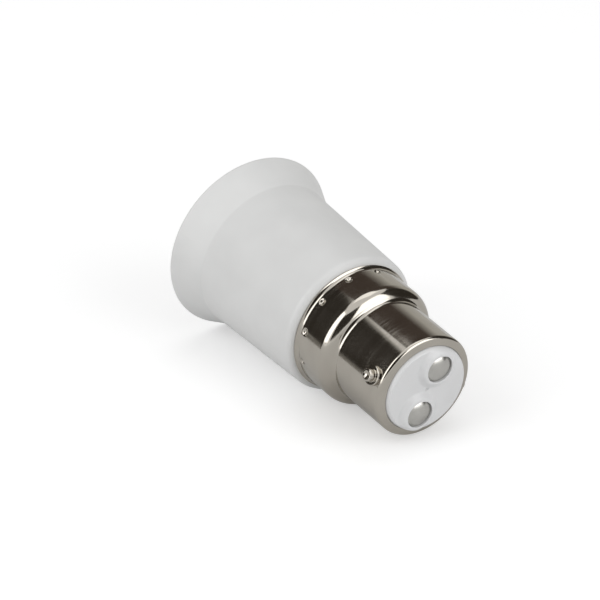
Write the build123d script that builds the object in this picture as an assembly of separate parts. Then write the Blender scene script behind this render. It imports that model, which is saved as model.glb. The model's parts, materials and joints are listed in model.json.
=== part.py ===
from build123d import *
import math
import os

# Lamp socket adapter: a two-pin bayonet cap on a flared screw socket.
# The part stands on its flared mouth. The origin is the centre of the mouth plane, +Z runs along the
# axis to the bayonet cap, the bayonet pins lie along X and the two contacts along Y. Sizes are in millimetres.

# Screw socket: the lamp thread that goes in, and the drawn shell around it
lamp_thread_radius = 13.2
lamp_clearance = 0.1
shell_sheet = 0.35
shell_edge_height = 7.5
shell_bore_clearance = 0.3
neck_height = 4.2
neck_cone = 1.3
neck_step = 1.1

# Moulded housing
end_wall = 0.95
end_ledge = 1.15
body_taper = 1.15
flare_overhang = 3.05
flare_height = 7.1
crease_round = 1.2
body_height = 36.4
body_edge_round = 1.5
rim_width = 1.8
rim_edge_round = 0.4
floor_thickness = 3.4
spigot_wall = 1.65
spigot_room = 0.5
spigot_clearance = 0.1
groove_clearance = 0.15

# Bayonet cap shell, drawn from sheet and staked to the spigot
cap_sheet = 0.35
barrel_radius = 11.0
skirt_height = 10.6
cap_height = 24.55
lip_overhang = 0.55
lip_turn = 65.0
shoulder_angle = 68.0
shoulder_outer_share = 0.72
curl_radius = 0.7
curl_turn = 75.0
rim_reach = 1.75
stake_count = 12
stake_phase = 6.0
stake_height = 2.0
stake_depth = 0.4
stake_radius = 0.75
stake_tip_radius = 0.3

# Bayonet pins with a dished end, riveted into a boss on the barrel
pin_radius = 1.3
pin_drop = 3.35
pin_length = 1.85
pin_edge_round = 0.4
pin_dish_radius = 0.8
pin_dish_depth = 0.25
boss_height = 0.6
boss_top_radius = 1.65
boss_radius = 2.05
pin_shank_radius = 0.95
pin_head_radius = 1.6
pin_head_height = 0.5
pin_clearance = 0.05
pin_head_gap = 0.2

# Insulator in the cap's end
insulator_clearance = 0.1
face_proud = 0.15
plug_clearance = 0.7
plug_depth = 3.8
contact_spacing = 10.0
well_radius = 2.95
collar_wall = 0.55
collar_height = 2.2
collar_edge_round = 0.25
collar_foot_round = 0.5
gate_radius = 0.45
gate_depth = 0.15

# Contact studs in the insulator's wells
stud_clearance = 0.15
stud_edge = 1.4
stud_dome = 0.75
stud_shank_radius = 1.15
stud_tail = 1.0
stud_hole_clearance = 0.05

# Rivets through the screw shell's flange
rivet_shank_radius = 1.0
rivet_head_radius = 1.6
rivet_head_height = 0.5
rivet_tail_radius = 1.5
rivet_tail_height = 0.4
rivet_bevel = 0.25
rivet_clearance = 0.05
rivet_spigot_gap = 0.3
flange_margin = 0.2

# Sprung centre contact, folded from strip
strip = 0.4
tongue_width = 5.0
tail_width = 3.6
tail_offset = 5.0
tail_room = 0.8
slot_clearance = 0.1
slot_draft = 9.0
root_drop = 0.7
root_bend = 0.8
tongue_angle = 28.0
tongue_length = 6.8
tip_bend = 1.2
tip_turn = 70.0

# Leads between the socket and the contacts
lead_radius = 0.7
wire_radius = 0.4
wire_gap = 0.1
wire_reach = 2.0
bore_clearance = 0.15
bore_room = 0.6
lead_bend = 2.0
lead_straight = 2.2

# Radii that follow from the lamp thread outwards
shell_inner = lamp_thread_radius + lamp_clearance
shell_outer = shell_inner + shell_sheet
bore_radius = shell_outer + shell_bore_clearance
body_end_radius = bore_radius + end_wall
crease_radius = body_end_radius + body_taper
mouth_radius = crease_radius + flare_overhang
floor_under = body_height - floor_thickness

# Radii and heights of the cap, whose lip stands on the housing's end
lip_radius = body_end_radius - end_ledge
lip_slant = math.radians(lip_turn)
lip_bend = lip_overhang / (1 - math.cos(lip_slant))
skirt_radius = lip_radius - lip_overhang
skirt_inner = skirt_radius - cap_sheet
spigot_radius = skirt_inner - spigot_clearance
spigot_inner = spigot_radius - spigot_wall
barrel_inner = barrel_radius - cap_sheet
shoulder_top = body_height + skirt_height
shoulder_turns = (skirt_radius - barrel_radius) / (1 - math.cos(math.radians(shoulder_angle)))
shoulder_start = shoulder_top - shoulder_turns * math.sin(math.radians(shoulder_angle))
spigot_top = shoulder_start - spigot_room
cap_top = body_height + cap_height
rim_opening = barrel_radius - rim_reach
rim_slant = math.radians(curl_turn)


def rim_length(inset):
    """Length of the straight part of the rim, on the outside of the sheet or at an inset from it."""
    return (rim_reach - inset - (curl_radius - inset) * (1 - math.cos(rim_slant))) / math.sin(rim_slant)


curl_height = cap_top - curl_radius * math.sin(rim_slant) - rim_length(0) * math.cos(rim_slant)
rim_under = cap_top - cap_sheet / math.sin(rim_slant)

# A stake is a punched dent in the skirt, with a bump behind it that stands in the spigot's groove
stake_level = body_height + stake_height
groove_floor = skirt_inner - stake_depth - groove_clearance
groove_half_width = stake_radius + groove_clearance

# Places inside the cap
pin_level = cap_top - pin_drop
flange_under = pin_level + pin_head_radius + pin_head_gap
face_height = cap_top + face_proud
collar_top = face_height + collar_height
plug_under = flange_under - plug_depth
plug_radius = barrel_inner - pin_head_height - plug_clearance
collar_radius = well_radius + collar_wall
contact_offset = contact_spacing / 2
stud_head_radius = well_radius - stud_clearance
stud_end = plug_under - stud_tail

# Places on the housing's floor
rivet_offset = spigot_inner - rivet_spigot_gap - rivet_tail_radius
flange_hole_radius = rivet_offset - rivet_head_radius - flange_margin
flange_face = floor_under - shell_sheet
neck_start = floor_under - neck_height
thread_end = neck_start - neck_cone
rivet_end = body_height + rivet_tail_height
tail_end = body_height + tail_room + wire_reach

# Bores in the rivets and studs for the leads' bare ends
wire_bore_radius = wire_radius + bore_clearance
wire_bore_depth = wire_reach + bore_room

UPWARD = (Align.CENTER, Align.CENTER, Align.MIN)


def run_on(edge, length):
    """A straight edge that continues another one."""
    return Line(edge @ 1, edge @ 1 + (edge % 1) * length)


def bend(edge, radius, angle):
    """An arc that continues an edge, to the left for a positive angle."""
    return JernArc(edge @ 1, edge % 1, radius, angle)


def in_flats(edge):
    """A straight edge as it is, or an arc as two flats, for the inside that nobody sees."""
    if edge.geom_type == GeomType.LINE:
        return [edge]
    return [Line(edge @ 0, edge @ 0.5), Line(edge @ 0.5, edge @ 1)]


def ball_radius(radius, height):
    """The radius of the ball whose cap has this radius and height."""
    return (radius**2 + height**2) / (2 * height)


def turned_edges(edges):
    """A solid turned about the axis, from closed edges drawn with x as radius and y as height."""
    return revolve(Plane.XZ * make_face(edges), Axis.Z)


def turned(points):
    """A solid turned about the axis, from (radius, height) corners."""
    return turned_edges(Polyline(*points, close=True).edges())


def rod(radius, bottom, top):
    """A plain round rod on the axis."""
    return Pos(0, 0, bottom) * Cylinder(radius, top - bottom, align=UPWARD)


def round_edge(solid, radius, height, size):
    """The solid with its round edge nearest to one radius and height filleted."""
    rings = solid.edges().filter_by(GeomType.CIRCLE)
    picked = rings.sort_by(lambda ring: abs(ring.radius - radius) + abs(ring.arc_center.Z - height))[0]
    return fillet(picked, size)


def make_tail_slot():
    """Slot for the contact's tail: close at the socket side, and drafted away from the tail above."""
    near = -tail_offset + strip / 2 + slot_clearance
    far = -tail_offset - strip / 2 - slot_clearance
    drift = floor_thickness * math.tan(math.radians(slot_draft))
    outline = Polyline(
        (near, floor_under), (near, body_height), (far - drift, body_height), (far, floor_under), close=True
    )
    return extrude(Plane.XZ * make_face(outline.edges()), amount=tail_width / 2 + slot_clearance, both=True)


def make_housing():
    """Flared body with an open socket below a floor, and the spigot that carries the cap above it."""
    body = turned([
        (mouth_radius - rim_width, 0), (mouth_radius, 0), (crease_radius, flare_height),
        (body_end_radius, body_height), (spigot_radius, body_height), (spigot_radius, spigot_top),
        (spigot_inner, spigot_top), (spigot_inner, body_height), (0, body_height), (0, floor_under),
        (bore_radius, floor_under), (bore_radius, flare_height),
    ])
    body = round_edge(body, body_end_radius, body_height, body_edge_round)
    body = round_edge(body, mouth_radius, 0, rim_edge_round)
    body = round_edge(body, crease_radius, flare_height, crease_round)
    groove_low = stake_level - groove_half_width
    groove_high = stake_level + groove_half_width
    body -= turned([
        (groove_floor, groove_low), (skirt_inner, groove_low), (skirt_inner, groove_high), (groove_floor, groove_high)
    ])
    rivet_hole = rod(rivet_shank_radius + rivet_clearance, floor_under, body_height)
    for side in (1, -1):
        body -= Pos(0, side * rivet_offset, 0) * rivet_hole
    return body - make_tail_slot()


def make_screw_shell():
    """Drawn cup of the screw socket: as wide as the thread's roots, a narrower neck, a flange on the floor."""
    neck_outer = shell_outer - neck_step
    neck_inner = shell_inner - neck_step
    shell = turned([
        (shell_outer, shell_edge_height), (shell_outer, thread_end), (neck_outer, neck_start),
        (neck_outer, floor_under), (flange_hole_radius, floor_under), (flange_hole_radius, flange_face),
        (neck_inner, flange_face), (neck_inner, neck_start), (shell_inner, thread_end),
        (shell_inner, shell_edge_height),
    ])
    rivet_hole = rod(rivet_shank_radius + rivet_clearance, flange_face, floor_under)
    for side in (1, -1):
        shell -= Pos(0, side * rivet_offset, 0) * rivet_hole
    return shell


def make_shell_rivet(side):
    """Tubular rivet: head under the shell's flange, shank through the floor and a rolled tail above it."""
    head_under = flange_face - rivet_head_height
    rivet = turned([
        (0, head_under), (rivet_head_radius - rivet_bevel, head_under), (rivet_head_radius, flange_face),
        (rivet_shank_radius, flange_face), (rivet_shank_radius, body_height), (rivet_tail_radius, body_height),
        (rivet_tail_radius - rivet_bevel, rivet_end), (0, rivet_end),
    ])
    rivet -= rod(wire_bore_radius, rivet_end - wire_bore_depth, rivet_end)
    return Pos(0, side * rivet_offset, 0) * rivet


def make_centre_contact():
    """Folded strip: a tail up through the slot, a root bend, and a tongue that reaches down to the lamp."""
    shoulder = floor_under - slot_clearance
    root = Line((-tail_offset, shoulder), (-tail_offset, shoulder - root_drop))
    root_turn = bend(root, root_bend, 90 - tongue_angle)
    tongue = run_on(root_turn, tongue_length)
    tip = bend(tongue, tip_bend, tip_turn)
    leaf = trace(Wire([root, root_turn, tongue, tip]), strip)
    contact = extrude(Plane.XZ * leaf, amount=tongue_width / 2, both=True)
    contact += Pos(-tail_offset, 0, shoulder) * Box(strip, tail_width, tail_end - shoulder, align=UPWARD)
    return contact


def make_cap_side(inset):
    """One side of the cap's sheet, from the turned-out lip up to the rim that slants inwards."""
    outer_turn = shoulder_turns * shoulder_outer_share - inset
    root_turn = shoulder_turns * (1 - shoulder_outer_share) + inset
    lip_start = (
        lip_radius - inset * math.cos(lip_slant), body_height + (cap_sheet - inset) * math.sin(lip_slant)
    )
    lip_end = body_height + (cap_sheet + lip_bend) * math.sin(lip_slant)
    lip_way = (-math.sin(lip_slant), math.cos(lip_slant))
    lip = JernArc(lip_start, lip_way, lip_bend + inset, -lip_turn)
    skirt = run_on(lip, shoulder_start - lip_end)
    shoulder = bend(skirt, outer_turn, shoulder_angle)
    shoulder_root = bend(shoulder, root_turn, -shoulder_angle)
    barrel = run_on(shoulder_root, curl_height - shoulder_top)
    curl = bend(barrel, curl_radius - inset, curl_turn)
    rim = run_on(curl, rim_length(inset))
    return [lip, skirt, shoulder, shoulder_root, barrel, curl, rim]


def make_cap_shell():
    """Drawn cap: lip, staked skirt, rounded shoulder, barrel with two pin holes, and a rim slanted inwards."""
    outside = make_cap_side(0)
    inside = make_cap_side(cap_sheet)
    lip_edge = Line(inside[0] @ 0, outside[0] @ 0)
    rim_edge = Line(outside[-1] @ 1, inside[-1] @ 1)
    flats = [flat for edge in inside for flat in in_flats(edge)]
    shell = turned_edges(outside + flats + [lip_edge, rim_edge])
    punch = Rot(0, 90, 0) * turned([
        (0, 0), (stake_tip_radius, 0), (2 * stake_radius - stake_tip_radius, 2 * stake_depth), (0, 2 * stake_depth)
    ])
    dent = Pos(skirt_radius - stake_depth, 0, stake_level) * punch
    hollow = rod(skirt_inner, body_height, shoulder_top)
    bump = (Pos(skirt_inner - stake_depth, 0, stake_level) * punch) & hollow
    turns = [Rot(0, 0, stake_phase + index * 360 / stake_count) for index in range(stake_count)]
    shell += [turn * bump for turn in turns]
    shell -= [turn * dent for turn in turns]
    pin_hole = Pos(0, 0, pin_level) * Rot(0, 90, 0) * Cylinder(pin_shank_radius + pin_clearance, 2 * skirt_radius)
    return shell - pin_hole


def make_bayonet_pin(side):
    """Riveted pin: a dished end outside, a conical boss saddled on the barrel and a flat head inside it."""
    pin_reach = barrel_radius + pin_length
    boss_reach = barrel_radius + boss_height
    head_reach = barrel_inner - pin_head_height
    boss_foot = boss_radius + (boss_radius - boss_top_radius) * (barrel_radius - head_reach) / boss_height
    ball = ball_radius(pin_dish_radius, pin_dish_depth)
    middle = Line((0, head_reach), (0, pin_reach - pin_dish_depth))
    dish = JernArc(middle @ 1, (1, 0), ball, math.degrees(math.asin(pin_dish_radius / ball)))
    end = Line(dish @ 1, (pin_radius - pin_edge_round, pin_reach))
    edge = bend(end, pin_edge_round, -90)
    wall = Polyline(
        edge @ 1, (pin_radius, boss_reach), (boss_top_radius, boss_reach), (boss_foot, head_reach), (0, head_reach)
    )
    upright_barrel = Rot(0, -90, 0) * Pos(0, 0, -pin_level)
    outer_part = turned_edges([middle, dish, end, edge] + wall.edges())
    outer_part -= upright_barrel * rod(barrel_radius + pin_clearance, 0, collar_top)
    head = rod(pin_head_radius, head_reach, barrel_inner)
    head &= upright_barrel * rod(barrel_inner - pin_clearance, 0, collar_top)
    pin = outer_part + head + rod(pin_shank_radius, head_reach, boss_reach)
    return Rot(0, 0, 90 - 90 * side) * Pos(0, 0, pin_level) * Rot(0, 90, 0) * pin


def make_insulator():
    """White disc under the slanted rim, with a plug below, two collared wells and a gate mark on its face."""
    flange_radius = barrel_inner - insulator_clearance
    face_radius = rim_opening - insulator_clearance
    bevel_top = rim_under - insulator_clearance
    disc = turned([
        (flange_radius, flange_under), (flange_radius, curl_height), (rim_opening, bevel_top),
        (face_radius, bevel_top), (face_radius, face_height), (0, face_height), (0, plug_under),
        (plug_radius, plug_under), (plug_radius, flange_under),
    ])
    collar = round_edge(rod(collar_radius, face_height, collar_top), collar_radius, collar_top, collar_edge_round)
    well = rod(well_radius, face_height, collar_top)
    well += rod(stud_shank_radius + stud_hole_clearance, plug_under, collar_top)
    for side in (1, -1):
        disc += Pos(0, side * contact_offset, 0) * collar
        disc = round_edge(disc, collar_radius, face_height, collar_foot_round)
        disc -= Pos(0, side * contact_offset, 0) * well
    return disc - rod(gate_radius, face_height - gate_depth, face_height)


def make_contact_stud(side):
    """Domed contact on the floor of its well, with a tubular shank through the insulator."""
    ball = ball_radius(stud_head_radius, stud_dome)
    head_top = face_height + stud_edge
    middle = Line((0, stud_end), (0, head_top + stud_dome))
    dome = JernArc(middle @ 1, (1, 0), ball, -math.degrees(math.asin(stud_head_radius / ball)))
    below = Polyline(
        dome @ 1, (stud_head_radius, face_height), (stud_shank_radius, face_height), (stud_shank_radius, stud_end),
        (0, stud_end),
    )
    stud = turned_edges([middle, dome] + below.edges())
    stud -= rod(wire_bore_radius, stud_end, stud_end + wire_bore_depth)
    return Pos(0, side * contact_offset, 0) * stud


def make_lead(start, end):
    """Insulated wire that rises from one place, crosses over in an S and ends upright, with bare ends."""
    offset = Vector(end[0] - start[0], end[1] - start[1])
    across = offset.length
    rise = end[2] - start[2] - 2 * lead_straight
    reach = math.hypot(across - 2 * lead_bend, rise)
    lean = math.atan2(across - 2 * lead_bend, rise) + math.asin(2 * lead_bend / reach)
    slant = math.sqrt(reach**2 - 4 * lead_bend**2)
    foot = Line((0, 0), (0, lead_straight))
    first = bend(foot, lead_bend, -math.degrees(lean))
    middle = run_on(first, slant)
    second = bend(middle, lead_bend, math.degrees(lean))
    top = run_on(second, lead_straight)
    plane = Plane(origin=start, x_dir=offset, z_dir=offset.cross(Vector(0, 0, 1)))
    path = plane * Wire([foot, first, middle, second, top])
    lead = sweep(Plane(start) * Circle(lead_radius), path)
    lead += Pos(start[0], start[1], start[2] - wire_reach) * Cylinder(wire_radius, wire_reach, align=UPWARD)
    lead += Pos(*end) * Cylinder(wire_radius, wire_reach, align=UPWARD)
    return lead


def make_shell_lead():
    """Lead from the bore of one shell rivet to the contact stud on its side."""
    start = (0, -rivet_offset, rivet_end + wire_gap)
    return make_lead(start, (0, -contact_offset, stud_end - wire_gap))


def make_centre_lead():
    """Lead from the centre contact's tail to the other contact stud."""
    start = (-tail_offset + strip / 2 + wire_gap + wire_radius, 0, tail_end + wire_gap)
    return make_lead(start, (0, contact_offset, stud_end - wire_gap))


pieces = {
    "housing": make_housing(),
    "screw_shell": make_screw_shell(),
    "shell_rivet_a": make_shell_rivet(1),
    "shell_rivet_b": make_shell_rivet(-1),
    "centre_contact": make_centre_contact(),
    "shell_lead": make_shell_lead(),
    "centre_lead": make_centre_lead(),
    "cap_shell": make_cap_shell(),
    "bayonet_pin_a": make_bayonet_pin(1),
    "bayonet_pin_b": make_bayonet_pin(-1),
    "insulator": make_insulator(),
    "contact_stud_a": make_contact_stud(1),
    "contact_stud_b": make_contact_stud(-1),
}

os.makedirs("parts", exist_ok=True)
for name, piece in pieces.items():
    export_step(piece, f"parts/{name}.step")
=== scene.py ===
import json
import math

import bmesh
import bpy
from mathutils import Matrix, Vector


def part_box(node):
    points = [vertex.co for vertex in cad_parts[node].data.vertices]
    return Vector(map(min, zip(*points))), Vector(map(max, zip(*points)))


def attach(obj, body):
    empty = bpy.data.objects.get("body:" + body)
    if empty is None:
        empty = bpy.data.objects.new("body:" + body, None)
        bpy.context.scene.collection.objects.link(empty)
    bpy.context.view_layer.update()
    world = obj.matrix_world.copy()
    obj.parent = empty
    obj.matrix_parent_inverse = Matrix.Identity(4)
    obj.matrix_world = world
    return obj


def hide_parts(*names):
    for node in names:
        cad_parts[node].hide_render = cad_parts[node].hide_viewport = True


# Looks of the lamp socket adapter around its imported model. Lengths are in metres, and mm is a millimetre.
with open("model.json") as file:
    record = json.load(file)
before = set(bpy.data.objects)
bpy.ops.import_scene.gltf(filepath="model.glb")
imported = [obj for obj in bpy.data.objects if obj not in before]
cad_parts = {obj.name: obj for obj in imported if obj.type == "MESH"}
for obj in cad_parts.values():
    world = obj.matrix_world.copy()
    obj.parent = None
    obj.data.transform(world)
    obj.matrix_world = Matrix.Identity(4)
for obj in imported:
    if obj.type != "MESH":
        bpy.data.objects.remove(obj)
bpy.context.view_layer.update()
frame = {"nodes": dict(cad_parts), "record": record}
nodes = frame["nodes"]
mounts = {mount["name"]: mount for mount in frame["record"]["mounts"]}
mm = 0.001

# Sizes read from the frame
cap_low, cap_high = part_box("cap_shell")
shell_low, shell_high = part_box("screw_shell")
insulator_low, insulator_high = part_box("insulator")
rim_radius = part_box("housing")[1].x
body_height = cap_low.z
lip_radius = cap_high.x
cap_top = cap_high.z
shell_outer = shell_high.x
shell_edge = shell_low.z
floor_under = shell_high.z
thread_mount = mounts["lamp_thread"]
shell_inner = thread_mount["dims"]["r_mm"] * mm
thread_end = thread_mount["pos_m"][2] + thread_mount["dims"]["length_mm"] / 2 * mm

# Finish of meshes
edge_round = 0.1 * mm
merge_distance = 0.0005 * mm
sharp_angle = math.radians(35)
arc_steps = 10

# Bayonet cap: drawn sheet with a turned-out lip, staked skirt, S-shaped shoulder, barrel and slanted rim
cap_sheet = 0.35 * mm
skirt_radius = 13.2 * mm
barrel_radius = 11.0 * mm
lip_slant = math.radians(65)
lip_bend = (lip_radius - skirt_radius) / (1 - math.cos(lip_slant))
shoulder_top = body_height + 10.6 * mm
shoulder_angle = math.radians(68)
shoulder_outer_share = 0.72
curl_radius = 0.7 * mm
rim_slant = math.radians(75)
rim_reach = 1.75 * mm
stake_count = 12
stake_phase = math.radians(6)
stake_level = body_height + 2.0 * mm
stake_depth = 0.4 * mm
stake_radius = 0.8 * mm
stake_tip_radius = 0.2 * mm
stake_rows = 15
skirt_tolerance = 0.1 * mm
cap_segments = 480

# Bayonet pins, each with a dished end and a round collar
pin_radius = 1.3 * mm
pin_edge_round = 0.35 * mm
pin_dish_radius = 0.85 * mm
pin_dish_depth = 0.35 * mm
collar_height = 0.6 * mm
collar_radius = 2.05 * mm
collar_round = 0.18 * mm
pin_shank_radius = 0.95 * mm
pin_head_radius = 1.6 * mm
pin_clearance = 0.05 * mm
pin_segments = 96

# Contact studs
stud_edge = 1.3 * mm
stud_dome = 0.85 * mm
stud_shank_radius = 1.15 * mm
stud_bore_radius = 0.55 * mm
stud_bore_depth = 2.6 * mm
stud_segments = 96

# Insulator: its face stands out of the rim with a soft edge, and a soft mound rises to each stud's well
insulator_clearance = 0.1 * mm
plug_radius = 9.45 * mm
flange_level = 59.4 * mm
rim_under = cap_top - cap_sheet / math.sin(rim_slant) - insulator_clearance
face_radius = barrel_radius - rim_reach - insulator_clearance
face_top = cap_top + 0.85 * mm
face_edge = 0.45 * mm
well_radius = 2.88 * mm
well_hole_radius = 1.2 * mm
mound_top_radius = 3.2 * mm
mound_foot_radius = 4.7 * mm
mound_top = insulator_high.z - 0.5 * mm
gate_radius = 0.45 * mm
gate_depth = 0.7 * mm
face_rings = 90
face_segments = 360

# Screw shell with its rolled lamp thread
thread_pitch = 3.629 * mm
thread_crest = 12.2 * mm
thread_fade = 2.2 * mm
thread_rows = 130
neck_start = floor_under - 4.2 * mm
neck_step = 1.1 * mm
neck_bend = 0.6 * mm
flange_hole_radius = 7.5 * mm
rivet_hole_radius = 1.05 * mm
shell_segments = 168

# Materials: sizes of their drifts, and how far colour and roughness run between two levels of noise
noise_low = 0.3
noise_high = 0.7
plastic_drift = 9 * mm
plastic_gloss_drift = 1.5 * mm
plastic_shades = (0.97, 1.02)
plastic_gloss = (-0.05, 0.05)
ring_length = 30 * mm
turned_drift = (6 * mm, 6 * mm, 3 * mm)
turned_shades = (0.95, 1.03)
turned_gloss = (-0.04, 0.06)
satin_drift = 2 * mm
satin_shades = (0.93, 1.03)
satin_gloss = (-0.06, 0.08)

# Camera, from a perspective fit of the photograph: 600 pixels square, with the mouth's centre at one of them
photo_pixels = 600
photo_focal = 3600
mouth_pixel = (247.6, 239.6)
mouth_distance = 733.3 * mm
axis_turn = math.radians(40.08)
axis_rise = math.radians(42.07)
pin_turn = math.radians(114.3)
sensor_width = 36
near_clip = 0.05
far_clip = 20

# Floor on which the adapter lies: it touches the mouth's rim and the body's end
body_end_radius = 14.9 * mm
lying_turn = math.radians(112.7)
lying_lean = math.atan2(rim_radius - body_end_radius, body_height)
floor_half_size = 3.0
floor_colour = (0.78, 0.78, 0.78, 1)
floor_glow = 0.38
ground_half_size = 0.4
ground_lift = 0.02 * mm

# Cards round the object, seen only in reflections: tones, distances, and edges that they share in degrees
dark_tone = (0.042, 0.037, 0.031)
back_tone = (0.08, 0.063, 0.053)
wall_tone = (0.56, 0.55, 0.52)
ground_tone = (0.45, 0.44, 0.42)
card_distance = 0.25
low_card_distance = 0.1
card_steps = 24
left_start = -101
back_start = -48.5
wall_start = -15
wall_end = 50
card_foot = -4
wall_top = 20
back_foot = 39
edge_foot = 57.6

# Lamps and surroundings
lamp_distance = 0.7
fill_strength = 0.5
white_strength = 1.0
white = (1, 1, 1, 1)


# Meshes

def rounded(corners):
    """A closed outline through corners (radius, height, round), with an arc of that round at each corner."""
    points = []
    for index, (radius, height, size) in enumerate(corners):
        corner = Vector((radius, height))
        if size == 0:
            points.append(corner)
            continue
        before = (Vector(corners[index - 1][:2]) - corner).normalized()
        after = (Vector(corners[(index + 1) % len(corners)][:2]) - corner).normalized()
        half = before.angle(after) / 2
        centre = corner + (before + after).normalized() * size / math.sin(half)
        spoke = corner + before * size / math.tan(half) - centre
        turn = (math.pi - 2 * half) * math.copysign(1, before.x * after.y - before.y * after.x)
        for step in range(arc_steps + 1):
            points.append(centre + Matrix.Rotation(-turn * step / arc_steps, 2) @ spoke)
    return points


def dome(radius, edge_height, rise):
    """Points of a round dome from its edge up to the axis."""
    ball = (radius**2 + rise**2) / (2 * rise)
    reach = math.asin(radius / ball)
    points = []
    for step in range(2 * arc_steps + 1):
        angle = reach * (1 - step / (2 * arc_steps))
        points.append(Vector((ball * math.sin(angle), edge_height + rise - ball * (1 - math.cos(angle)))))
    return points


def smooth_step(share):
    """A share from 0 to 1 that starts and ends softly."""
    share = min(max(share, 0), 1)
    return share * share * (3 - 2 * share)


def join_rings(made, rings, steps):
    """Faces between each ring of corners and the next, over this many steps along a ring."""
    for index, ring in enumerate(rings):
        following = rings[(index + 1) % len(rings)]
        for step in range(steps):
            further = (step + 1) % len(ring)
            made.faces.new((ring[step], following[step], following[further], ring[further]))


def turned(name, outline, segments, shape=None):
    """A closed mesh turned about Z from a closed outline; shape may move a point by its angle."""
    made = bmesh.new()
    rings = []
    for index in range(segments):
        angle = 2 * math.pi * index / segments
        ring = []
        for radius, height in outline:
            if shape:
                radius, height = shape(radius, height, angle)
            ring.append(made.verts.new((radius * math.cos(angle), radius * math.sin(angle), height)))
        rings.append(ring)
    join_rings(made, rings, len(outline))
    return finished(name, made)


def finished(name, made):
    """An object from a bmesh, with smooth faces and sharp edges where it turns a corner."""
    bmesh.ops.remove_doubles(made, verts=made.verts, dist=merge_distance)
    bmesh.ops.dissolve_degenerate(made, edges=made.edges, dist=merge_distance)
    bmesh.ops.recalc_face_normals(made, faces=made.faces)
    for face in made.faces:
        face.smooth = True
    for edge in made.edges:
        edge.smooth = edge.calc_face_angle(0) < sharp_angle
    mesh = bpy.data.meshes.new(name)
    made.to_mesh(mesh)
    made.free()
    piece = bpy.data.objects.new(name, mesh)
    bpy.context.scene.collection.objects.link(piece)
    return piece


def rod(radius, low, high):
    """A round rod along Z, to cut a hole with."""
    return turned("rod", [(0, low), (radius, low), (radius, high), (0, high)], pin_segments)


def cut_out(piece, cutter):
    """The piece with the cutter's shape taken out of it."""
    change = piece.modifiers.new("cut", "BOOLEAN")
    change.operation = "DIFFERENCE"
    change.solver = "EXACT"
    change.object = cutter
    bpy.context.view_layer.update()
    whole = piece.evaluated_get(bpy.context.evaluated_depsgraph_get())
    made = bmesh.new()
    made.from_mesh(whole.to_mesh())
    name = piece.name
    for used in (piece, cutter):
        bpy.data.objects.remove(used)
    return finished(name, made)


# Pieces: the bayonet cap's shell

def stake_dent(height, angle):
    """How far a stake pushes the skirt in at this height and angle."""
    step = 2 * math.pi / stake_count
    off = (angle - stake_phase + step / 2) % step - step / 2
    distance = math.hypot(skirt_radius * off, height - stake_level)
    return stake_depth * smooth_step((stake_radius - distance) / (stake_radius - stake_tip_radius))


def cap_side(inset):
    """Corners of one side of the cap's sheet, from the lip up to the slanted rim."""
    lip_end = body_height + (cap_sheet + lip_bend) * math.sin(lip_slant)
    turns = (skirt_radius - barrel_radius) / (1 - math.cos(shoulder_angle))
    outer_turn = turns * shoulder_outer_share
    root_turn = turns - outer_turn
    start = shoulder_top - turns * math.sin(shoulder_angle)
    half = math.tan(shoulder_angle / 2)
    shift = inset * half
    skirt = skirt_radius - inset
    barrel = barrel_radius - inset
    rim_edge = cap_top - inset / math.sin(rim_slant)
    lip_edge = lip_radius - inset * math.cos(lip_slant)
    lip_level = body_height + (cap_sheet - inset) * math.sin(lip_slant)
    return [
        (lip_edge, lip_level, 0),
        (skirt, lip_end - (lip_bend + inset) * math.tan(lip_slant / 2), lip_bend + inset),
        (skirt, start + outer_turn * half - shift, outer_turn - inset),
        (barrel, shoulder_top - root_turn * half - shift, root_turn + inset),
        (barrel, rim_edge - (rim_reach - inset) / math.tan(rim_slant), curl_radius - inset),
        (barrel_radius - rim_reach, rim_edge, 0),
    ]


def make_cap():
    """The cap's shell, with its stakes as soft dents in the skirt and a hole on each side for a pin."""
    points = rounded(cap_side(0) + cap_side(cap_sheet)[::-1])
    widest = skirt_radius + skirt_tolerance
    outline = []
    for index, point in enumerate(points):
        outline.append(point)
        following = points[(index + 1) % len(points)]
        on_skirt = max(point.x, following.x) < widest and abs(point.x - following.x) < skirt_tolerance
        crosses = min(point.y, following.y) < stake_level < max(point.y, following.y)
        if on_skirt and crosses:
            rise = math.copysign(1, following.y - point.y)
            for row in range(stake_rows):
                offset = stake_radius * (2 * row / (stake_rows - 1) - 1)
                outline.append(Vector((point.x, stake_level + rise * offset)))

    def shape(radius, height, angle):
        if radius < widest and abs(height - stake_level) <= stake_radius:
            radius -= stake_dent(height, angle)
        return radius, height

    cap = turned("bayonet_cap", outline, cap_segments, shape)
    low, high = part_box("bayonet_pin_a")
    pin_hole = rod(pin_shank_radius + pin_clearance, -skirt_radius, skirt_radius)
    pin_hole.data.transform(Matrix.Rotation(math.pi / 2, 4, "Y"))
    pin_hole.data.transform(Matrix.Translation((0, 0, (low.z + high.z) / 2)))
    return cut_out(cap, pin_hole)


# Pieces: the bayonet pins

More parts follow.
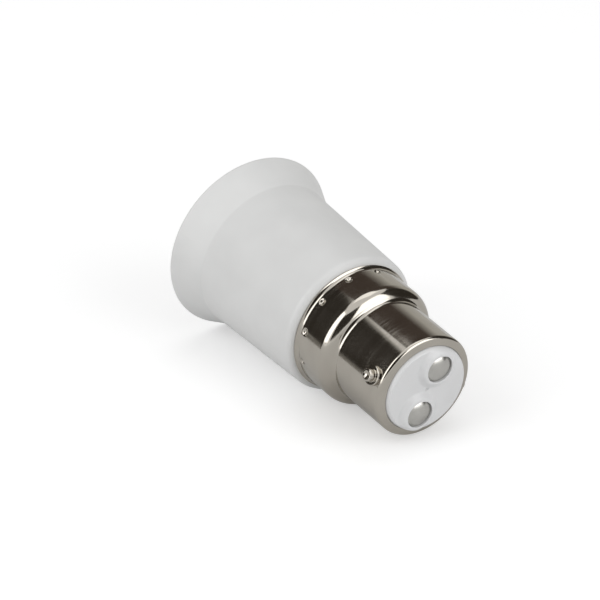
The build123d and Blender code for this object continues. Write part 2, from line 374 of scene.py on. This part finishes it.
def make_pin(side, name):
    """A riveted pin: a dished end outside, a round collar saddled on the barrel, and a flat head inside."""
    low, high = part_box(name)
    level = (low.z + high.z) / 2
    tip = max(abs(low.x), abs(high.x))
    head_end = min(abs(low.x), abs(high.x))
    collar_top = barrel_radius + collar_height
    inner = barrel_radius - cap_sheet - pin_clearance
    outer = barrel_radius + pin_clearance
    dish = [(radius, 2 * tip - reach) for radius, reach in dome(pin_dish_radius, tip, pin_dish_depth)[::-1]]
    stem = rounded([
        (0, tip, 0), (pin_radius, tip, pin_edge_round), (pin_radius, collar_top, edge_round),
        (collar_radius, collar_top, collar_round), (collar_radius, barrel_radius, 0), (0, barrel_radius, 0),
    ])
    # The first corner and the last two only give the others their directions
    outside = dish + stem[1:-2]
    seat = (
        (collar_radius, outer), (pin_shank_radius, outer),
        (pin_shank_radius, inner), (pin_head_radius, inner),
    )
    head = [(pin_head_radius, head_end), (0, head_end)]
    made = bmesh.new()
    rings = []
    for index in range(pin_segments):
        angle = 2 * math.pi * index / pin_segments
        saddle = [(radius, math.sqrt(reach**2 - (radius * math.cos(angle))**2)) for radius, reach in seat]
        ring = []
        for radius, reach in outside + saddle + head:
            place = (side * reach, radius * math.cos(angle), level + radius * math.sin(angle))
            ring.append(made.verts.new(place))
        rings.append(ring)
    join_rings(made, rings, len(rings[0]) - 1)
    return finished(f"{name}_turned", made)


# Pieces: the contact studs

def make_stud(name):
    """A domed stud with a straight edge, a tubular shank and a bore for its lead."""
    low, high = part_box(name)
    radius = (high.x - low.x) / 2
    seat = high.z - stud_dome - stud_edge
    bore_end = low.z + stud_bore_depth
    corners = rounded([
        (0, bore_end, 0), (stud_bore_radius, bore_end, 0), (stud_bore_radius, low.z, 0),
        (stud_shank_radius, low.z, 0), (stud_shank_radius, seat, 0), (radius, seat, edge_round),
    ])
    piece = turned(f"{name}_turned", corners + dome(radius, seat + stud_edge, stud_dome), stud_segments)
    piece.data.transform(Matrix.Translation((0, (low.y + high.y) / 2, 0)))
    return piece


# Pieces: the insulator

def face_rise(radius, angle, stud_offset):
    """How far the insulator's face stands above its edge under the rim at this place."""
    across = radius * math.cos(angle)
    along = abs(radius * math.sin(angle))
    off_stud = math.hypot(across, along - stud_offset)
    mound = smooth_step((mound_foot_radius - off_stud) / (mound_foot_radius - mound_top_radius))
    rise = face_top - rim_under + (mound_top - face_top) * mound
    rise -= gate_depth * smooth_step((gate_radius - radius) / gate_radius)
    over_edge = max(radius - face_radius + face_edge, 0) / face_edge
    return rise * math.sqrt(max(1 - over_edge**2, 0))


def make_insulator():
    """The moulded insulator: a flange and a plug under the rim, and a face with two wells for the studs."""
    low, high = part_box("contact_stud_a")
    stud_offset = abs(low.y + high.y) / 2
    seat = high.z - stud_dome - stud_edge
    curl_run = rim_reach - curl_radius * (1 - math.cos(rim_slant))
    curl_level = cap_top - curl_radius * math.sin(rim_slant) - curl_run / math.tan(rim_slant)
    flange_radius = insulator_high.x
    outline = [
        (0, insulator_low.z), (plug_radius, insulator_low.z), (plug_radius, flange_level),
        (flange_radius, flange_level), (flange_radius, curl_level), (barrel_radius - rim_reach, rim_under),
    ]
    for ring in range(face_rings + 1):
        turn = math.pi / 2 * ring / face_rings
        outline.append((face_radius * math.cos(turn), rim_under))

    def shape(radius, height, angle):
        if radius <= face_radius and height > flange_level:
            height += face_rise(radius, angle, stud_offset)
        return radius, height

    piece = turned("insulator_moulding", outline, face_segments, shape)
    under = insulator_low.z - mm
    above = insulator_high.z + mm
    well = [
        (0, under), (well_hole_radius, under), (well_hole_radius, seat),
        (well_radius, seat), (well_radius, above), (0, above),
    ]
    for side in (1, -1):
        cutter = turned("well", well, stud_segments)
        cutter.data.transform(Matrix.Translation((0, side * stud_offset, 0)))
        piece = cut_out(piece, cutter)
    return piece


# Pieces: the screw shell with its thread

def thread_dip(height, angle):
    """How far the rolled thread stands in from its roots at this height and angle."""
    turn = 2 * math.pi * height / thread_pitch - angle
    wave = (1 - math.cos(turn)) / 2
    from_end = min(height - shell_edge, thread_end - height)
    return (shell_inner - thread_crest) * wave * smooth_step(from_end / thread_fade)


def make_thread():
    """The drawn screw shell: a rolled right-hand thread, a neck, and a flange with holes for its rivets."""
    sheet = shell_outer - shell_inner
    span = thread_end - shell_edge
    inside = [Vector((shell_inner, shell_edge + span * row / thread_rows)) for row in range(thread_rows + 1)]
    outside = [Vector((point.x + sheet, point.y)) for point in reversed(inside)]
    neck = rounded([
        (shell_inner - neck_step, neck_start, neck_bend),
        (shell_inner - neck_step, floor_under - sheet, neck_bend),
        (flange_hole_radius, floor_under - sheet, 0), (flange_hole_radius, floor_under, 0),
        (shell_outer - neck_step, floor_under, neck_bend + sheet),
        (shell_outer - neck_step, neck_start, neck_bend + sheet),
        (shell_outer, thread_end, 0), (shell_inner, thread_end, 0),
    ])

    def shape(radius, height, angle):
        return radius - thread_dip(height, angle), height

    # The neck's last two corners are the thread's own ends
    shell = turned("socket_thread", inside + neck[:-2] + outside, shell_segments, shape)
    for rivet in ("shell_rivet_a", "shell_rivet_b"):
        low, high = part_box(rivet)
        rivet_hole = rod(rivet_hole_radius, floor_under - mm, floor_under + mm)
        rivet_hole.data.transform(Matrix.Translation((0, (low.y + high.y) / 2, 0)))
        shell = cut_out(shell, rivet_hole)
    return shell


# Materials

def material(name, colour, roughness, metallic):
    """A new material, with its node tree and its shader."""
    made = bpy.data.materials.new(name)
    made.use_nodes = True
    shader = made.node_tree.nodes["Principled BSDF"]
    shader.inputs["Base Color"].default_value = (*colour, 1)
    shader.inputs["Roughness"].default_value = roughness
    shader.inputs["Metallic"].default_value = metallic
    return made, made.node_tree, shader


def noise(tree, features, detail=2.0):
    """Noise with features of the given size along X, Y and Z."""
    place = tree.nodes.new("ShaderNodeTexCoord")
    mapping = tree.nodes.new("ShaderNodeMapping")
    mapping.inputs["Scale"].default_value = [1 / size for size in features]
    texture = tree.nodes.new("ShaderNodeTexNoise")
    texture.inputs["Scale"].default_value = 1.0
    texture.inputs["Detail"].default_value = detail
    tree.links.new(place.outputs["Object"], mapping.inputs["Vector"])
    tree.links.new(mapping.outputs["Vector"], texture.inputs["Vector"])
    return texture.outputs["Fac"]


def vary_colour(tree, shader, source, colour, shades):
    """The shader's colour runs between two shades of a colour with the noise."""
    ramp = tree.nodes.new("ShaderNodeValToRGB")
    for stop, position, share in zip(ramp.color_ramp.elements, (noise_low, noise_high), shades):
        stop.position = position
        stop.color = (*(channel * share for channel in colour), 1)
    tree.links.new(source, ramp.inputs["Fac"])
    tree.links.new(ramp.outputs["Color"], shader.inputs["Base Color"])


def vary_roughness(tree, shader, source, roughness, gloss):
    """The shader's roughness runs to either side of a value with the noise."""
    scale = tree.nodes.new("ShaderNodeMapRange")
    scale.inputs["From Min"].default_value = noise_low
    scale.inputs["From Max"].default_value = noise_high
    scale.inputs["To Min"].default_value = roughness + gloss[0]
    scale.inputs["To Max"].default_value = roughness + gloss[1]
    tree.links.new(source, scale.inputs["Value"])
    tree.links.new(scale.outputs["Result"], shader.inputs["Roughness"])


def bump(tree, shader, source, depth):
    """A bump of the given depth on the shader."""
    made = tree.nodes.new("ShaderNodeBump")
    made.inputs["Strength"].default_value = 1.0
    made.inputs["Distance"].default_value = depth
    tree.links.new(source, made.inputs["Height"])
    tree.links.new(made.outputs["Normal"], shader.inputs["Normal"])


def plastic(name, colour, roughness, grain, depth):
    """Moulded plastic: slight drifts of colour and gloss, and a fine moulded grain."""
    made, tree, shader = material(name, colour, roughness, 0.0)
    vary_colour(tree, shader, noise(tree, [plastic_drift] * 3), colour, plastic_shades)
    vary_roughness(tree, shader, noise(tree, [plastic_gloss_drift] * 3), roughness, plastic_gloss)
    bump(tree, shader, noise(tree, [grain] * 3), depth)
    return made


def turned_metal(name, colour, roughness, groove, depth):
    """Drawn and turned metal: fine rings about the axis in its gloss and surface, and a drift of colour."""
    made, tree, shader = material(name, colour, roughness, 1.0)
    rings = noise(tree, [ring_length, ring_length, groove], detail=4.0)
    vary_colour(tree, shader, noise(tree, turned_drift), colour, turned_shades)
    vary_roughness(tree, shader, rings, roughness, turned_gloss)
    bump(tree, shader, rings, depth)
    return made


def satin_metal(name, colour, roughness, grain, depth):
    """Plain satin metal with a fine even grain."""
    made, tree, shader = material(name, colour, roughness, 1.0)
    fine = noise(tree, [grain] * 3, detail=3.0)
    vary_colour(tree, shader, noise(tree, [satin_drift] * 3), colour, satin_shades)
    vary_roughness(tree, shader, fine, roughness, satin_gloss)
    bump(tree, shader, fine, depth)
    return made


housing_plastic = plastic(
    "housing_plastic", colour=(0.72, 0.722, 0.715), roughness=0.45, grain=0.12 * mm, depth=0.001 * mm
)
insulator_plastic = plastic(
    "insulator_plastic", colour=(0.74, 0.742, 0.745), roughness=0.36, grain=0.15 * mm, depth=0.001 * mm
)
cap_plate = turned_metal(
    "cap_plate", colour=(0.5, 0.468, 0.415), roughness=0.11, groove=0.25 * mm, depth=0.002 * mm
)
stud_metal = satin_metal(
    "stud_metal", colour=(0.55, 0.54, 0.51), roughness=0.2, grain=0.25 * mm, depth=0.001 * mm
)
shell_metal = turned_metal(
    "shell_metal", colour=(0.78, 0.78, 0.77), roughness=0.24, groove=0.09 * mm, depth=0.0008 * mm
)
rivet_metal = satin_metal(
    "rivet_metal", colour=(0.76, 0.76, 0.76), roughness=0.28, grain=0.15 * mm, depth=0.002 * mm
)
contact_strip = satin_metal(
    "contact_strip", colour=(0.72, 0.52, 0.27), roughness=0.3, grain=0.1 * mm, depth=0.001 * mm
)
lead_sleeve = plastic(
    "lead_sleeve", colour=(0.04, 0.04, 0.045), roughness=0.5, grain=0.1 * mm, depth=0.002 * mm
)


# Pieces in place of CAD nodes, and CAD nodes that show themselves

def dress(piece, finish):
    """The piece with one material."""
    piece.data.materials.clear()
    piece.data.materials.append(finish)


def stand_for(piece, node, finish):
    """The piece dressed, riding on the adapter in place of a CAD node."""
    dress(piece, finish)
    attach(piece, "adapter")
    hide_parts(node)


stand_for(make_cap(), "cap_shell", cap_plate)
stand_for(make_thread(), "screw_shell", shell_metal)
for side, pin in ((1, "bayonet_pin_a"), (-1, "bayonet_pin_b")):
    stand_for(make_pin(side, pin), pin, cap_plate)
for stud in ("contact_stud_a", "contact_stud_b"):
    stand_for(make_stud(stud), stud, stud_metal)
stand_for(make_insulator(), "insulator", insulator_plastic)
dress(nodes["housing"], housing_plastic)
dress(nodes["centre_contact"], contact_strip)
for name in ("shell_rivet_a", "shell_rivet_b"):
    dress(nodes[name], rivet_metal)
for name in ("shell_lead", "centre_lead"):
    dress(nodes[name], lead_sleeve)


# Camera: its own axes are right, down and forward in the picture

def photo_axes():
    """The part's X, Y and Z as the camera sees them, in columns."""
    axis = Vector((
        math.cos(axis_rise) * math.cos(axis_turn),
        math.cos(axis_rise) * math.sin(axis_turn),
        -math.sin(axis_rise),
    ))
    across = Vector((math.sin(axis_turn), -math.cos(axis_turn), 0))
    along = axis.cross(across)
    first = math.cos(pin_turn) * across + math.sin(pin_turn) * along
    second = -math.sin(pin_turn) * across + math.cos(pin_turn) * along
    return Matrix((first, second, axis)).transposed()


def make_camera():
    """The camera where the photograph was taken from."""
    turn = photo_axes().transposed()
    half_frame = photo_pixels / 2
    aside = [(pixel - half_frame) * mouth_distance / photo_focal for pixel in mouth_pixel]
    data = bpy.data.cameras.new("camera")
    data.sensor_width = sensor_width
    data.lens = sensor_width * photo_focal / photo_pixels
    data.clip_start = near_clip
    data.clip_end = far_clip
    camera = bpy.data.objects.new("camera", data)
    upright = Matrix.Diagonal((1, -1, -1))
    place = (turn @ upright).to_4x4()
    place.translation = -(turn @ Vector((*aside, mouth_distance)))
    camera.matrix_world = place
    bpy.context.scene.collection.objects.link(camera)
    bpy.context.scene.camera = camera
    return camera


camera = make_camera()


# Stage: the floor's own directions, with bearings counted from straight away from the camera to the right

floor_up = -Vector((
    math.cos(lying_turn) * math.cos(lying_lean),
    math.sin(lying_turn) * math.cos(lying_lean),
    math.sin(lying_lean),
))
view_right = camera.matrix_world.to_3x3() @ Vector((1, 0, 0))
floor_right = (view_right - view_right.dot(floor_up) * floor_up).normalized()
floor_away = floor_up.cross(floor_right)
middle = Vector((0, 0, body_height))


def towards(bearing, height):
    """The direction at a bearing and a height above the floor, in degrees."""
    turn = math.radians(bearing)
    rise = math.radians(height)
    level = math.cos(turn) * floor_away + math.sin(turn) * floor_right
    return math.cos(rise) * level + math.sin(rise) * floor_up


def stage_material(name):
    """An empty material for the stage, with its node tree and output."""
    made = bpy.data.materials.new(name)
    made.use_nodes = True
    made.node_tree.nodes.clear()
    return made, made.node_tree, made.node_tree.nodes.new("ShaderNodeOutputMaterial")


def larger(tree, first, second):
    """The larger of two outputs."""
    node = tree.nodes.new("ShaderNodeMath")
    node.operation = "MAXIMUM"
    tree.links.new(first, node.inputs[0])
    tree.links.new(second, node.inputs[1])
    return node.outputs[0]


def seen_directly(tree, rays):
    """An output that is 1 for what the camera, a reflection or clear material shows."""
    reflected = larger(tree, rays.outputs["Is Camera Ray"], rays.outputs["Is Glossy Ray"])
    return larger(tree, reflected, rays.outputs["Is Transmission Ray"])


def floor_finish(name, glow):
    """A pale floor that keeps shadows, glows where it is seen directly, and isn't there from below."""
    made, tree, output = stage_material(name)
    rays = tree.nodes.new("ShaderNodeLightPath")
    side = tree.nodes.new("ShaderNodeNewGeometry")
    lit = tree.nodes.new("ShaderNodeBsdfDiffuse")
    lit.inputs["Color"].default_value = floor_colour
    strength = tree.nodes.new("ShaderNodeMath")
    strength.operation = "MULTIPLY"
    strength.inputs[1].default_value = glow
    glowing = tree.nodes.new("ShaderNodeEmission")
    both = tree.nodes.new("ShaderNodeAddShader")
    nothing = tree.nodes.new("ShaderNodeBsdfTransparent")
    one_sided = tree.nodes.new("ShaderNodeMixShader")
    tree.links.new(seen_directly(tree, rays), strength.inputs[0])
    tree.links.new(strength.outputs[0], glowing.inputs["Strength"])
    tree.links.new(lit.outputs[0], both.inputs[0])
    tree.links.new(glowing.outputs[0], both.inputs[1])
    from_below = larger(tree, side.outputs["Backfacing"], rays.outputs["Transparent Depth"])
    tree.links.new(from_below, one_sided.inputs[0])
    tree.links.new(both.outputs[0], one_sided.inputs[1])
    tree.links.new(nothing.outputs[0], one_sided.inputs[2])
    tree.links.new(one_sided.outputs[0], output.inputs["Surface"])
    return made


def lay_sheet(name, half_size, lift, glow):
    """A square sheet where the adapter lies, touched by the mouth's rim and the body's end."""
    touch = rim_radius * Vector((math.cos(lying_turn), math.sin(lying_turn), 0)) + lift * floor_up
    corners = [
        touch + half_size * (a * floor_right + b * floor_away)
        for a, b in ((-1, -1), (1, -1), (1, 1), (-1, 1))
    ]
    mesh = bpy.data.meshes.new(name)
    mesh.from_pydata(corners, [], [(0, 1, 2, 3)])
    if mesh.polygons[0].normal.dot(floor_up) < 0:
        mesh.flip_normals()
    sheet = bpy.data.objects.new(name, mesh)
    bpy.context.scene.collection.objects.link(sheet)
    dress(sheet, floor_finish(name, glow))
    return sheet


def show_in_reflections_only(card):
    """The card is seen in reflections, and neither lights nor shades anything."""
    card.visible_camera = False
    card.visible_diffuse = False
    card.visible_transmission = False
    card.visible_shadow = False


def make_card(name, bearings, heights, tones, distance=card_distance):
    """A card round the object, graded from its low edge to its high edge and seen only in reflections."""
    low_tone, high_tone = (Vector((*tone, 1)) for tone in tones)
    made = bmesh.new()
    layer = made.verts.layers.float_color.new("tone")
    rows = []
    for up in range(card_steps + 1):
        share = up / card_steps
        height = heights[0] + (heights[1] - heights[0]) * share
        row = []
        for turn in range(card_steps + 1):
            bearing = bearings[0] + (bearings[1] - bearings[0]) * turn / card_steps
            place = made.verts.new(middle + distance * towards(bearing, height))
            place[layer] = low_tone.lerp(high_tone, share)
            row.append(place)
        rows.append(row)
    for low, high in zip(rows, rows[1:]):
        for turn in range(card_steps):
            made.faces.new((low[turn], low[turn + 1], high[turn + 1], high[turn]))
    card = finished(name, made)
    finish, tree, output = stage_material(name)
    tone = tree.nodes.new("ShaderNodeAttribute")
    tone.attribute_name = "tone"
    shown = tree.nodes.new("ShaderNodeEmission")
    tree.links.new(tone.outputs["Color"], shown.inputs["Color"])
    tree.links.new(shown.outputs[0], output.inputs["Surface"])
    dress(card, finish)
    show_in_reflections_only(card)


def make_softbox(name, bearing, height, width, tall, brightness):
    """A soft rectangular lamp that looks at the object, as bright as a white surface times its brightness."""
    data = bpy.data.lights.new(name, "AREA")
    data.shape = "RECTANGLE"
    data.size = width
    data.size_y = tall
    data.energy = brightness * math.pi * width * tall
    lamp = bpy.data.objects.new(name, data)
    aim = towards(bearing, height)
    right = floor_up.cross(aim).normalized()
    place = Matrix((right, aim.cross(right), aim)).transposed().to_4x4()
    place.translation = middle + lamp_distance * aim
    lamp.matrix_world = place
    lamp.visible_camera = False
    bpy.context.scene.collection.objects.link(lamp)


def make_world():
    """White surroundings for the camera and reflections, and a softer fill on the object."""
    world = bpy.data.worlds.new("surroundings")
    world.use_nodes = True
    tree = world.node_tree
    tree.nodes.clear()
    mix = tree.nodes.new("ShaderNodeMixShader")
    for socket, strength in zip(mix.inputs[1:], (fill_strength, white_strength)):
        shown = tree.nodes.new("ShaderNodeBackground")
        shown.inputs["Color"].default_value = white
        shown.inputs["Strength"].default_value = strength
        tree.links.new(shown.outputs[0], socket)
    tree.links.new(seen_directly(tree, tree.nodes.new("ShaderNodeLightPath")), mix.inputs[0])
    tree.links.new(mix.outputs[0], tree.nodes.new("ShaderNodeOutputWorld").inputs["Surface"])
    bpy.context.scene.world = world


lay_sheet("floor", floor_half_size, lift=0, glow=floor_glow)
show_in_reflections_only(lay_sheet("card_ground", ground_half_size, lift=ground_lift, glow=0))

dark = (dark_tone, dark_tone)
make_card(
    "card_low", bearings=(left_start, wall_start), heights=(-11, 0), tones=(ground_tone, dark_tone),
    distance=low_card_distance,
)
make_card("card_left", bearings=(left_start, wall_start), heights=(card_foot, back_foot), tones=dark)
make_card("card_left_top", bearings=(left_start, back_start), heights=(back_foot, edge_foot), tones=dark)
make_card(
    "card_left_edge", bearings=(left_start, back_start), heights=(edge_foot, 60.8),
    tones=(dark_tone, wall_tone),
)
make_card(
    "card_wall", bearings=(wall_start, wall_end), heights=(card_foot, wall_top),
    tones=(wall_tone, wall_tone),
)
make_card(
    "card_wall_top", bearings=(wall_start, wall_end), heights=(wall_top, back_foot),
    tones=(wall_tone, back_tone),
)
make_card("card_back", bearings=(back_start, wall_end), heights=(back_foot, 66), tones=(back_tone, back_tone))
make_card("card_right", bearings=(wall_end, 104), heights=(card_foot, 50), tones=dark)
make_card("card_front", bearings=(152, 212), heights=(4, 48), tones=dark)

make_softbox("lamp_left", bearing=-116, height=30, width=0.5, tall=0.7, brightness=1.6)
make_softbox("lamp_right", bearing=128, height=28, width=0.55, tall=0.6, brightness=1.6)
make_softbox("lamp_top", bearing=10, height=72, width=0.5, tall=0.5, brightness=0.7)
make_softbox("lamp_below", bearing=150, height=-50, width=0.6, tall=0.6, brightness=1.6)
make_world()
bpy.context.scene.view_settings.view_transform = "Standard"
